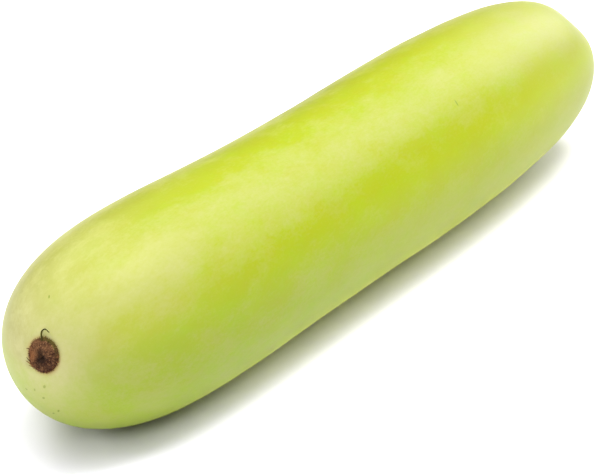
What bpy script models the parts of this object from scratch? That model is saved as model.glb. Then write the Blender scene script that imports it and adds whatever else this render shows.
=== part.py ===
"""A long bottle gourd, picked and lying on its side, with its blossom end towards -X.

The rind is one solid. Its rounds follow one formula along a gently bowed centre line, and its
underside has the small flat spot that it rests on. The corky blossom scar, with the last threads
of the withered flower, sits in a shallow seat on the near end, a little off the middle. The cut
stem stands in a seat on the far end. Lengths are in metres and +Z is up. The origin is the
middle of the whole part's footprint, on the surface that it lies on.
"""

import math
import random

import bmesh
import bpy
import numpy as np
from mathutils import Matrix, Vector

# The whole gourd. A station runs from -1 at the blossom end to 1 at the stem end.
LENGTH = 0.415
GIRTH = 0.0824
TAPER = 0.0293
BLOSSOM_SWELL, BLOSSOM_SWELL_AT, BLOSSOM_SWELL_REACH = 0.0475, -0.772, 0.321
STEM_SWELL, STEM_SWELL_AT, STEM_SWELL_REACH = 0.0409, 0.334, 0.325
BLOSSOM_BLUNTNESS, BLOSSOM_ROUNDING = 7.0, 2.2
STEM_BLUNTNESS, STEM_ROUNDING = 5.89, 2.57
SIDE_BOW = 0.0049
S_BEND = -0.0027
SHOULDER_DEPTH, SHOULDER_AT, SHOULDER_REACH = 0.0042, 0.946, 0.0755
SHOULDER_ANGLE, SHOULDER_SPREAD = math.radians(123), math.radians(27)
SPOT_DEPTH = 0.0016
MIDDLE_X, MIDDLE_Y = -0.00677, 0.00036
GAP = 0.0003

# The blossom scar, with places given right and up of its own middle as seen facing it.
SCAR_ASIDE, SCAR_UP = -0.0055, 0.0074
SCAR_RADIUS = 0.0071
SCAR_SEAT_DEPTH = 0.0015
SCAR_FACE_HEIGHT, SCAR_EDGE_HEIGHT = 0.00012, 0.00025
SCAR_RIM_HEIGHT, SCAR_RIM_AT, SCAR_RIM_REACH = 0.00055, 0.86, 0.16
SCAR_COLLAR_HEIGHT, SCAR_COLLAR_AT, SCAR_COLLAR_REACH = 0.00038, 0.47, 0.12
SCAR_CREASES, SCAR_CREASE_HEIGHT, SCAR_CREASE_SWIRL = 9, 0.00009, 5.0
CORE_RADIUS, CORE_DEPTH = 0.0021, 0.0005
CORE_RIGHT, CORE_UP = -0.0001, -0.0006
FRINGE_COUNT = 24
FRINGE_LENGTH, FRINGE_THICKNESS = (0.0003, 0.0009), 0.00055
FRINGE_ROOT_AT, FRINGE_ROOT_HEIGHT, FRINGE_TIP_HEIGHT = 0.80, 0.0003, 0.0009
FRINGE_SWIRL = 25
# Longer fibres: degrees round from the right, and length past the edge.
STRAY_FIBRES = ((168, 0.0018), (200, 0.0020), (213, 0.0022), (84, 0.0012))
THREAD_THICKNESS = 0.00064
# The thread's knots: right and up of the scar's middle, and height over the skin.
THREAD_PATH = (
    (-0.0009, 0.0058, 0.0003),
    (-0.0010, 0.0072, 0.0010),
    (-0.0013, 0.0088, 0.0014),
    (-0.0012, 0.0098, 0.0016),
    (-0.0005, 0.0105, 0.0016),
    (0.0005, 0.0105, 0.0015),
    (0.0018, 0.0099, 0.0012),
)

# The cut stem.
STEM_LENGTH = 0.0140
STEM_RADIUS, STEM_FOOT_RADIUS = 0.0052, 0.0084
STEM_FOOT_FADE = 0.0022
STEM_RIDGES, STEM_RIDGE_HEIGHT = 5, 0.10
STEM_SEAT_DEPTH = 0.0014
STEM_SAG = 0.0010
STEM_CUT_SLANT = 0.12
PITH_RADIUS, PITH_DEPTH = 0.0019, 0.0008

# How finely the faces follow the curves.
BODY_ROUNDS, BODY_SIDES = 52, 72
SCAR_SIDES, STEM_SIDES = 40, 40
SEED = 11


def linear(hex_colour):
    """Red, green, blue and alpha in linear light, from an sRGB hex colour."""
    shares = [int(hex_colour[i : i + 2], 16) / 255 for i in (0, 2, 4)]
    return [s / 12.92 if s <= 0.04045 else ((s + 0.055) / 1.055) ** 2.4 for s in shares] + [1.0]


def make_material(name, hex_colour, roughness):
    """A plain non-metal finish."""
    material = bpy.data.materials.new(name)
    material.use_nodes = True
    shader = material.node_tree.nodes["Principled BSDF"]
    shader.inputs["Base Color"].default_value = linear(hex_colour)
    shader.inputs["Roughness"].default_value = roughness
    shader.inputs["Metallic"].default_value = 0.0
    return material


def clear_scene():
    for obj in list(bpy.data.objects):
        bpy.data.objects.remove(obj, do_unlink=True)


def object_from_bmesh(name, bm, collection=None):
    """A new object of the bmesh, its faces turned outwards and shaded smooth."""
    bmesh.ops.recalc_face_normals(bm, faces=bm.faces)
    mesh = bpy.data.meshes.new(name)
    bm.to_mesh(mesh)
    bm.free()
    mesh.shade_smooth()
    mesh.set_sharp_from_angle(angle=math.radians(40))
    obj = bpy.data.objects.new(name, mesh)
    (collection or bpy.context.scene.collection).objects.link(obj)
    return obj


def apply_modifiers(obj):
    """Keeps the object's evaluated mesh and drops its modifiers."""
    graph = bpy.context.evaluated_depsgraph_get()
    mesh = bpy.data.meshes.new_from_object(obj.evaluated_get(graph))
    obj.modifiers.clear()
    obj.data = mesh


def trunk_radius(station):
    """Radius between the ends: a slim waist between a swelling near each end, and a slight taper."""
    blossom = BLOSSOM_SWELL * np.exp(-(((station - BLOSSOM_SWELL_AT) / BLOSSOM_SWELL_REACH) ** 2))
    stem = STEM_SWELL * np.exp(-(((station - STEM_SWELL_AT) / STEM_SWELL_REACH) ** 2))
    return GIRTH / 2 * (1 + blossom + stem - TAPER * station)


def dome(station):
    """Share of the trunk's radius that is left as an end rounds off, from 1 on the trunk to 0."""
    bluntness = np.where(station < 0, BLOSSOM_BLUNTNESS, STEM_BLUNTNESS)
    rounding = np.where(station < 0, BLOSSOM_ROUNDING, STEM_ROUNDING)
    return np.clip(1 - np.abs(station) ** bluntness, 0, 1) ** (1 / rounding)


def shoulder_flat(station, angle):
    """How far the skin is pressed in on the upper near shoulder of the stem end."""
    turn = np.angle(np.exp(1j * (angle - SHOULDER_ANGLE)))
    along = (station - SHOULDER_AT) / SHOULDER_REACH
    return SHOULDER_DEPTH * np.exp(-(along**2) - (turn / SHOULDER_SPREAD) ** 2)


def resting_height():
    """Height of the centre line, with the widest round cut off by the flat spot's depth."""
    stations = np.linspace(-1, 1, 2001)
    return float((trunk_radius(stations) * dome(stations)).max()) - SPOT_DEPTH


AXIS_HEIGHT = resting_height()
BLOSSOM_END_RADIUS = float(trunk_radius(-1.0))


def lean(station):
    """Sideways slope of the centre line, as an angle."""
    rise = 2 * SIDE_BOW * station + S_BEND * (3 * station**2 - 0.6)
    return np.arctan(rise / (LENGTH / 2))


def skin(station, angle):
    """Points of the skin. The angle runs from +Y over the top, square to the centre line."""
    radius = (trunk_radius(station) - shoulder_flat(station, angle)) * dome(station)
    sway = SIDE_BOW * (station**2 - 1 / 3) + S_BEND * (station**3 - 0.6 * station)
    across = radius * np.cos(angle)
    x = MIDDLE_X + station * LENGTH / 2 - np.sin(lean(station)) * across
    y = MIDDLE_Y + sway + np.cos(lean(station)) * across
    z = AXIS_HEIGHT + radius * np.sin(angle)
    return np.stack(np.broadcast_arrays(x, y, z), axis=-1)


def blossom_skin(right, up):
    """Points of the skin at places right and up of the scar's middle."""
    aside, above = SCAR_ASIDE - right, SCAR_UP + up
    share = np.hypot(aside, above) / BLOSSOM_END_RADIUS
    station = -((1 - share**BLOSSOM_ROUNDING) ** (1 / BLOSSOM_BLUNTNESS))
    return skin(station, np.arctan2(above, aside))


def over_blossom_end(right, up, height):
    """Points a height above the skin there, along the skin's own normal."""
    right, up, height = np.broadcast_arrays(np.asarray(right, float), up, height)
    step = 0.0002
    along_right = blossom_skin(right + step, up) - blossom_skin(right - step, up)
    along_up = blossom_skin(right, up + step) - blossom_skin(right, up - step)
    normal = np.cross(along_right, along_up)
    normal /= np.linalg.norm(normal, axis=-1, keepdims=True)
    return blossom_skin(right, up) + height[..., None] * normal


def loft(rings, name, collection=None):
    """A closed solid through rings of points. A ring of one point closes its end."""
    bm = bmesh.new()
    rows = [[bm.verts.new(point) for point in ring] for ring in rings]
    for one, other in zip(rows, rows[1:]):
        sides = max(len(one), len(other))
        for i in range(sides):
            j = (i + 1) % sides
            corners = [one[i % len(one)], one[j % len(one)], other[j % len(other)], other[i % len(other)]]
            bm.faces.new(list(dict.fromkeys(corners)))
    return object_from_bmesh(name, bm, collection)


def cut_away(target, cutter):
    """Cuts the cutter's shape out of the target, and leaves the cutter out of the part."""
    modifier = target.modifiers.new(cutter.name, "BOOLEAN")
    modifier.operation = "DIFFERENCE"
    modifier.solver = "EXACT"
    modifier.object = cutter
    cutter.hide_render = True
    cutter.display_type = "WIRE"


def cut_flat_spot(bm):
    """Takes off what lies under the surface that the gourd rests on, and fills the cut."""
    whole = bm.verts[:] + bm.edges[:] + bm.faces[:]
    surface, down = (0, 0, 0), (0, 0, -1)
    cut = bmesh.ops.bisect_plane(bm, geom=whole, plane_co=surface, plane_no=down, clear_outer=True)
    edges = [item for item in cut["geom_cut"] if isinstance(item, bmesh.types.BMEdge)]
    bmesh.ops.holes_fill(bm, edges=edges)


def build_body():
    """The rind: rounds set closer together where the ends round off."""
    turns = np.linspace(0, math.pi, BODY_ROUNDS + 2)
    angles = np.linspace(0, 2 * math.pi, BODY_SIDES, endpoint=False)
    rings = [skin(-math.cos(turn), angles) for turn in turns[1:-1]]
    ends = [skin(np.array([station]), np.array([0.0])) for station in (-1.0, 1.0)]
    body = loft([ends[0], *rings, ends[1]], "gourd_body")
    bm = bmesh.new()
    bm.from_mesh(body.data)
    cut_flat_spot(bm)
    bm.to_mesh(body.data)
    bm.free()
    return body


def scar_outline(angle):
    """Radius of the scar's uneven edge."""
    return SCAR_RADIUS * (1 + 0.03 * np.cos(angle - 1.0) + 0.02 * np.cos(2 * angle - 2.2))


def scar_sheet(share, height, margin=0.0):
    """A ring of the scar at a share of its outline's radius. Its middle drifts to the dark core."""
    angles = np.linspace(0, 2 * math.pi, SCAR_SIDES, endpoint=False)
    radius = share * (scar_outline(angles) + margin)
    right = (1 - share) * CORE_RIGHT + radius * np.cos(angles)
    up = (1 - share) * CORE_UP + radius * np.sin(angles)
    return over_blossom_end(right, up, height)


def scar_relief(share, angles):
    """Height of the corky face over the skin: a raised rim, shallow creases and a sunk dark core."""
    rim = SCAR_RIM_HEIGHT * np.exp(-(((share - SCAR_RIM_AT) / SCAR_RIM_REACH) ** 2))
    collar = SCAR_COLLAR_HEIGHT * np.exp(-(((share - SCAR_COLLAR_AT) / SCAR_COLLAR_REACH) ** 2))
    pit = CORE_DEPTH * np.exp(-((share * SCAR_RADIUS / CORE_RADIUS) ** 4))
    creases = SCAR_CREASE_HEIGHT * np.cos(SCAR_CREASES * angles + SCAR_CREASE_SWIRL * share)
    return SCAR_FACE_HEIGHT + rim + collar - pit + creases * min(1.0, 2 * share)


def build_scar_disc():
    """The scar's cork: a plate that follows the skin, set in its seat."""
    angles = np.linspace(0, 2 * math.pi, SCAR_SIDES, endpoint=False)
    floor = GAP - SCAR_SEAT_DEPTH
    below = [scar_sheet(share, floor) for share in (0.35, 0.7, 1.0)]
    above = [scar_sheet(share, scar_relief(share, angles)) for share in np.linspace(0.9, 0.1, 9)]
    edge = scar_sheet(1.0, SCAR_EDGE_HEIGHT)
    bottom_middle = over_blossom_end([CORE_RIGHT], CORE_UP, floor)
    top_middle = over_blossom_end([CORE_RIGHT], CORE_UP, -0.5 * CORE_DEPTH)
    return loft([bottom_middle, *below, edge, *above, top_middle], "blossom_scar")


def build_scar_seat():
    """The cutter for the scar's seat: the scar's own outline, wider by the gap."""
    top, floor = 3 * SCAR_SEAT_DEPTH, -SCAR_SEAT_DEPTH
    shares = (0.35, 0.7, 1.0)
    below = [scar_sheet(share, floor, GAP) for share in shares]
    above = [scar_sheet(share, top, GAP) for share in reversed(shares)]
    middles = [over_blossom_end([CORE_RIGHT], CORE_UP, height) for height in (floor, top)]
    return loft([middles[0], *below, *above, middles[1]], "scar_seat_cutter")


def place_spike(name, root, tip, radius, collection):
    """A five-sided spike from its root to a fine tip."""
    root, tip = Vector(root), Vector(tip)
    along = tip - root
    place = Matrix.Translation((root + tip) / 2) @ along.to_track_quat("Z", "Y").to_matrix().to_4x4()
    ends = {"radius1": radius, "radius2": 0.35 * radius, "depth": along.length}
    bm = bmesh.new()
    bmesh.ops.create_cone(bm, cap_ends=True, segments=5, matrix=place, **ends)
    return object_from_bmesh(name, bm, collection)


def build_fringe(collection):
    """Fibres round the scar's rim, rooted in its cork and lying just clear of the skin."""
    rng = random.Random(SEED)
    fibres = []
    for number in range(FRINGE_COUNT):
        degrees = 360 / FRINGE_COUNT * (number + rng.uniform(-0.3, 0.3))
        fibres.append((degrees, rng.uniform(*FRINGE_LENGTH)))
    for number, (degrees, length) in enumerate([*fibres, *STRAY_FIBRES]):
        angle = math.radians(degrees)
        swirl = angle + math.radians(rng.uniform(-FRINGE_SWIRL, FRINGE_SWIRL))
        outer = scar_outline(angle)
        inner = FRINGE_ROOT_AT * outer
        root = over_blossom_end(inner * math.cos(angle), inner * math.sin(angle), FRINGE_ROOT_HEIGHT)
        tip_right = outer * math.cos(angle) + length * math.cos(swirl)
        tip_up = outer * math.sin(angle) + length * math.sin(swirl)
        tip = over_blossom_end(tip_right, tip_up, FRINGE_TIP_HEIGHT)
        place_spike(f"fibre_{number}", root, tip, FRINGE_THICKNESS / 2, collection)


def build_thread(collection):
    """The flower's last thread: a wiry hook that rises from the scar's upper rim."""
    curve = bpy.data.curves.new("thread", "CURVE")
    curve.dimensions = "3D"
    curve.bevel_depth = THREAD_THICKNESS / 2
    curve.bevel_resolution = 1
    curve.resolution_u = 3
    curve.use_fill_caps = True
    spline = curve.splines.new("BEZIER")
    spline.bezier_points.add(len(THREAD_PATH) - 1)
    for knot, (right, up, height) in zip(spline.bezier_points, THREAD_PATH):
        knot.co = over_blossom_end(right, up, height)
        knot.handle_left_type = knot.handle_right_type = "AUTO"
    guide = bpy.data.objects.new("thread_guide", curve)
    collection.objects.link(guide)
    bpy.context.view_layer.update()
    mesh = bpy.data.meshes.new_from_object(guide.evaluated_get(bpy.context.evaluated_depsgraph_get()))
    bpy.data.objects.remove(guide, do_unlink=True)
    bm = bmesh.new()
    bm.from_mesh(mesh)
    bmesh.ops.remove_doubles(bm, verts=bm.verts, dist=1e-6)
    object_from_bmesh("thread", bm, collection)


def build_scar():
    """The scar's plate with its fringe and thread grown into it as one solid."""
    scar = build_scar_disc()
    withered = bpy.data.collections.new("withered_flower")
    bpy.context.scene.collection.children.link(withered)
    build_fringe(withered)
    build_thread(withered)
    fuse = scar.modifiers.new("fuse", "BOOLEAN")
    fuse.operation = "UNION"
    fuse.solver = "EXACT"
    fuse.operand_type = "COLLECTION"
    fuse.collection = withered
    bpy.context.view_layer.update()
    apply_modifiers(scar)
    for obj in list(withered.objects):
        bpy.data.objects.remove(obj, do_unlink=True)
    bpy.data.collections.remove(withered)
    return scar


def stem_frame():
    """Turns a shape built up +Z from its foot so that it stands on the gourd's stem end."""
    foot = Vector(skin(1.0, 0.0))
    turn = Matrix.Rotation(float(lean(1.0)), 4, "Z") @ Matrix.Rotation(math.pi / 2, 4, "Y")
    return Matrix.Translation(foot) @ turn


def stem_ring(distance, scale=1.0):
    """A round of the stalk: five soft ridges, a spread foot, a slight sag and a slanted cut."""
    angles = np.linspace(0, 2 * math.pi, STEM_SIDES, endpoint=False)
    spread = (STEM_FOOT_RADIUS - STEM_RADIUS) * math.exp(-max(distance, 0.0) / STEM_FOOT_FADE)
    fade = 1 - spread / (STEM_FOOT_RADIUS - STEM_RADIUS)
    ridge = STEM_RIDGE_HEIGHT * fade * np.cos(STEM_RIDGES * angles)
    radius = scale * (STEM_RADIUS + spread) * (1 + ridge)
    share = max(distance, 0.0) / STEM_LENGTH
    x = radius * np.cos(angles) + STEM_SAG * share**2
    slant = STEM_CUT_SLANT * share**3 * radius * np.cos(angles)
    return np.stack([x, radius * np.sin(angles), distance + slant], axis=-1)


def build_stem():
    """The cut stem, its foot in a shallow seat and a dry hollow where its pith was."""
    foot = GAP - STEM_SEAT_DEPTH
    shares = (0.0, 0.04, 0.1, 0.18, 0.3, 0.5, 0.75, 1.0)
    rings = [stem_ring(foot, 0.5), stem_ring(foot)]
    rings += [stem_ring(share * STEM_LENGTH) for share in shares]
    pith = PITH_RADIUS / STEM_RADIUS
    rings += [stem_ring(STEM_LENGTH, pith), stem_ring(STEM_LENGTH - PITH_DEPTH, 0.8 * pith)]
    start, end = rings[0].mean(axis=0), rings[-1].mean(axis=0)
    stem = loft([[start], *rings, [end]], "stem_stub")
    stem.data.transform(stem_frame())
    return stem


def build_stem_seat():
    """The cutter for the stem's seat."""
    bm = bmesh.new()
    radius, height = STEM_FOOT_RADIUS + GAP, 4 * STEM_SEAT_DEPTH
    place = stem_frame() @ Matrix.Translation((0, 0, height / 2 - STEM_SEAT_DEPTH))
    ends = {"radius1": radius, "radius2": radius, "depth": height}
    bmesh.ops.create_cone(bm, cap_ends=True, segments=STEM_SIDES, matrix=place, **ends)
    return object_from_bmesh("stem_seat_cutter", bm)


def main():
    clear_scene()
    body, scar, stem = build_body(), build_scar(), build_stem()
    cut_away(body, build_scar_seat())
    cut_away(body, build_stem_seat())
    body.data.materials.append(make_material("gourd_rind", "C3D055", 0.38))
    scar.data.materials.append(make_material("scar_cork", "5F4030", 0.85))
    stem.data.materials.append(make_material("green_stem", "8C9A4E", 0.60))


main()
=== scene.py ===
"""The looks of a long bottle gourd, picked and lying on its side with its blossom end towards -X.

The frame holds three solids: the rind, the corky blossom scar and the cut stem. Each is replaced here by a
finer mesh that keeps its form. Every surface is a formula of two parameters, worked out as whole arrays.
Lengths are in metres and +Z is up. A station runs along the gourd from -1 at the blossom end to 1 at the
stem end, and an angle runs round it from +Y over the top.
"""

import logging
import math
from dataclasses import dataclass, field
from enum import Enum
from functools import cached_property

import bpy
import numpy as np
from bpy.types import Material, Node, NodeSocket, NodeTree, Object
from mathutils import Matrix, Vector


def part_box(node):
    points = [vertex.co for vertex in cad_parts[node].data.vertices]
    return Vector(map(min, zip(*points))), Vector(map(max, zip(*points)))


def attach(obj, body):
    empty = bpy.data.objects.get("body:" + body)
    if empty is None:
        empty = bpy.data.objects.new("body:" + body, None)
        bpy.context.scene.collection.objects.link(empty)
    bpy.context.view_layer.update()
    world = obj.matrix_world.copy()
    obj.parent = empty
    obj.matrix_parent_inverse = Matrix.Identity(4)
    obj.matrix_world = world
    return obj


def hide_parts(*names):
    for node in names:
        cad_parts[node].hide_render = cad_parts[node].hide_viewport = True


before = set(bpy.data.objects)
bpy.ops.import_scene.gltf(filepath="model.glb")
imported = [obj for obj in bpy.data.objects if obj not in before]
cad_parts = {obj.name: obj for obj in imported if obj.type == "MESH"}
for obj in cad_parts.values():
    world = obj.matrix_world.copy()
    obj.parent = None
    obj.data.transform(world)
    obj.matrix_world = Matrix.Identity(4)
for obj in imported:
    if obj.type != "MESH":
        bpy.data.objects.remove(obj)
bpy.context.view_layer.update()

logging.basicConfig(level=logging.INFO, format="%(name)s: %(message)s")
log = logging.getLogger("bottle_gourd")

MM = 0.001
BODY = "root"
SEED = 11
# A step small enough for slopes of the skin, in metres or as a station.
NUDGE = 0.2 * MM
# Sockets of a Mix node that mixes colours: its share, the colour under, the colour over, and its result.
SHARE, UNDER, OVER, MIXED = 0, 6, 7, 2


class Slot(Enum):
    """The record's material slots."""

    RIND = "rind"
    CORK = "scar_cork"
    STEM = "stem"


def linear(hex_colour: str) -> tuple[float, float, float, float]:
    """Turns an sRGB colour to linear light.

    Args:
        hex_colour: The colour, such as "C3D055".

    Returns:
        Its red, green, blue and alpha.
    """
    shares = [int(hex_colour[i : i + 2], 16) / 255 for i in (0, 2, 4)]
    red, green, blue = (s / 12.92 if s <= 0.04045 else ((s + 0.055) / 1.055) ** 2.4 for s in shares)
    return red, green, blue, 1.0


def bell(distance: np.ndarray, reach: float | np.ndarray) -> np.ndarray:
    """A bell curve: 1 at no distance, and e to the minus 1 at the reach."""
    return np.exp(-((distance / reach) ** 2))


def ease(value: np.ndarray, low: float, high: float) -> np.ndarray:
    """Rises smoothly from 0 at low to 1 at high, by 3t^2 - 2t^3."""
    share = np.clip((value - low) / (high - low), 0, 1)
    return share * share * (3 - 2 * share)


def apart(angles: np.ndarray, degrees: float | np.ndarray) -> np.ndarray:
    """Degrees between each angle, in radians, and the one given, the short way round."""
    return np.degrees(np.abs(np.angle(np.exp(1j * (angles - np.radians(degrees))))))


def unit(vectors: np.ndarray) -> np.ndarray:
    """The vectors, each divided by its own length."""
    return vectors / np.linalg.norm(vectors, axis=-1, keepdims=True)


def round_angles(count: int) -> np.ndarray:
    """Angles spaced evenly over a whole turn, in radians."""
    return np.linspace(0, 2 * math.pi, count, endpoint=False)


def ripples(points: np.ndarray, wavelength: float, rng: np.random.Generator, waves: int = 28) -> np.ndarray:
    """Smooth random relief, about -1 to 1: the mean of plane waves that run every way.

    Args:
        points: Places in space, three numbers each.
        wavelength: The typical distance from crest to crest, in the points' units.
        rng: The seeded source of the waves' directions, lengths and phases.
        waves: How many plane waves are added.

    Returns:
        One height for each point.
    """
    ways = unit(rng.normal(size=(waves, 3)))
    pace = 2 * math.pi / (wavelength * rng.uniform(0.6, 1.6, waves))
    phase = rng.uniform(0, 2 * math.pi, waves)
    total = np.zeros(points.shape[:-1])
    for way, quickness, start in zip(ways, pace, phase):
        total += np.cos(quickness * (points @ way) + start)
    return total / math.sqrt(waves)


def grid_faces(rows: int, columns: int, wraps: bool) -> np.ndarray:
    """Four corners for each cell of a grid whose points are numbered row by row.

    Args:
        rows: Rows of points.
        columns: Points in a row.
        wraps: Whether the last column joins the first.

    Returns:
        One row of four point numbers for each cell.
    """
    row = np.arange(rows - 1)[:, None] * columns
    here = np.arange(columns if wraps else columns - 1)
    there = (here + 1) % columns
    over = row + columns
    return np.stack([row + here, row + there, over + there, over + here], -1).reshape(-1, 4)


def closed_loft(rings: np.ndarray, start: np.ndarray,
                end: np.ndarray) -> tuple[np.ndarray, list[np.ndarray]]:
    """A closed surface: rings of points joined by quads, with a fan of triangles at each end.

    Args:
        rings: Points of shape (rings, sides, 3), turning right-handed about the way from start to end.
        start: The point that closes the first ring.
        end: The point that closes the last ring.

    Returns:
        The points as one list, and the arrays of faces.
    """
    count, sides = rings.shape[:2]
    points = np.concatenate([rings.reshape(-1, 3), start.reshape(1, 3), end.reshape(1, 3)])
    here, there = np.arange(sides), (np.arange(sides) + 1) % sides
    last = (count - 1) * sides
    first_fan = np.stack([there, here, np.full(sides, count * sides)], -1)
    last_fan = np.stack([last + here, last + there, np.full(sides, count * sides + 1)], -1)
    return points, [grid_faces(count, sides, wraps=True), first_fan, last_fan]


def tubes(paths: np.ndarray, radii: np.ndarray, sides: int) -> tuple[np.ndarray, list[np.ndarray]]:
    """Round tubes carried along paths, each closed at both ends.

    A ring is centre + radius * (cos(turn) * aside + sin(turn) * over), square to the path's own direction.

    Args:
        paths: Centre points of shape (tubes, steps, 3).
        radii: The radius at each step, of shape (tubes, steps).
        sides: Corners of each ring.

    Returns:
        The points as one list, and the arrays of faces.
    """
    along = unit(np.gradient(paths, axis=1))
    least = np.eye(3)[np.abs(along).mean(axis=(0, 1)).argmin()]
    aside = unit(np.cross(along, least))
    over = np.cross(along, aside)
    turn = round_angles(sides)[:, None]
    ring = np.cos(turn) * aside[:, :, None] + np.sin(turn) * over[:, :, None]
    rings = paths[:, :, None] + radii[:, :, None, None] * ring
    count, steps = paths.shape[:2]
    each = steps * sides
    starts = np.arange(count)[:, None, None]
    walls = (starts * each + grid_faces(steps, sides, wraps=True)).reshape(-1, 4)
    loop = np.arange(sides)
    ends = [(starts[:, 0] * each + loop[::-1]), (starts[:, 0] * each + each - sides + loop)]
    return rings.reshape(-1, 3), [walls, *ends]


def smooth_path(knots: np.ndarray, steps: int) -> np.ndarray:
    """Points on a smooth curve through the knots: cubics whose slope at a knot is half its neighbours' span.

    Args:
        knots: The curve's knots, of shape (knots, values).
        steps: How many points to give.

    Returns:
        Points of shape (steps, values).
    """
    place = np.linspace(0, len(knots) - 1, steps)
    piece = np.minimum(place.astype(int), len(knots) - 2)
    share = (place - piece)[:, None]
    slope = np.gradient(knots, axis=0)
    one, other = knots[piece], knots[piece + 1]
    rise, fall = slope[piece], slope[piece + 1]
    bend = share**2 * (3 - 2 * share)
    return one + bend * (other - one) + share * (1 - share) * ((1 - share) * rise - share * fall)


def mesh_object(name: str, points: np.ndarray, faces: list[np.ndarray]) -> Object:
    """A smooth-shaded object at the origin, with its place in its mesh.

    Args:
        name: The piece's name.
        points: Corner points, three numbers each.
        faces: Arrays of faces, each of one corner count.

    Returns:
        The object, linked to the scene.
    """
    mesh = bpy.data.meshes.new(name)
    corners = np.concatenate([block.ravel() for block in faces]).astype(np.int32)
    sizes = np.concatenate([np.full(len(block), block.shape[1], np.int32) for block in faces])
    mesh.vertices.add(len(points))
    mesh.vertices.foreach_set("co", points.astype(np.float32).ravel())
    mesh.loops.add(len(corners))
    mesh.loops.foreach_set("vertex_index", corners)
    mesh.polygons.add(len(sizes))
    mesh.polygons.foreach_set("loop_start", np.concatenate([[0], np.cumsum(sizes[:-1])]).astype(np.int32))
    mesh.update(calc_edges=True)
    mesh.validate()
    mesh.shade_smooth()
    piece = bpy.data.objects.new(name, mesh)
    bpy.context.scene.collection.objects.link(piece)
    return piece


def store(piece: Object, **shares: np.ndarray) -> None:
    """Keeps named numbers for each point of the mesh, for its material to read.

    Args:
        piece: The mesh's object.
        **shares: For each attribute's name, one number for each point.
    """
    for name, values in shares.items():
        attribute = piece.data.attributes.new(name, "FLOAT", "POINT")
        attribute.data.foreach_set("value", np.ascontiguousarray(values, np.float32).ravel())


def with_poles(values: np.ndarray) -> np.ndarray:
    """A closed loft's values: those of its rings, then its two poles' from the first and the last ring."""
    return np.concatenate([values.ravel(), values[0, :1], values[-1, :1]])


def add_node(tree: NodeTree, kind: str, inputs: dict[str | int, object] | None = None,
             **settings: object) -> Node:
    """Adds a node, sets it up and links it.

    Args:
        tree: The node tree that gets the node.
        kind: The node's type, without its "ShaderNode" prefix.
        inputs: For each input's name or number, a constant or the output socket to link to it.
        **settings: The node's own properties.

    Returns:
        The node.
    """
    node = tree.nodes.new("ShaderNode" + kind)
    for setting, value in settings.items():
        setattr(node, setting, value)
    for key, value in (inputs or {}).items():
        if isinstance(value, NodeSocket):
            tree.links.new(value, node.inputs[key])
        else:
            node.inputs[key].default_value = value
    return node


def new_material(name: str, constants: dict[str, object]) -> tuple[Material, NodeTree, Node]:
    """Starts a material with its Principled shader.

    Args:
        name: The material's name.
        constants: For each of the shader's sockets that is the same all over the surface, its value.

    Returns:
        The material, its node tree and its shader.
    """
    material = bpy.data.materials.new(name)
    material.use_nodes = True
    shader = material.node_tree.nodes["Principled BSDF"]
    for socket, value in constants.items():
        shader.inputs[socket].default_value = value
    return material, material.node_tree, shader


def finish_piece(piece: Object, material: Material) -> Object:
    """Dresses the piece, makes it ride on the gourd and reports it.

    Args:
        piece: The piece.
        material: What it is made of.

    Returns:
        The piece.
    """
    piece.data.materials.append(material)
    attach(piece, BODY)
    log.info("%s: %d faces", piece.name, len(piece.data.polygons))
    return piece


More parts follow.
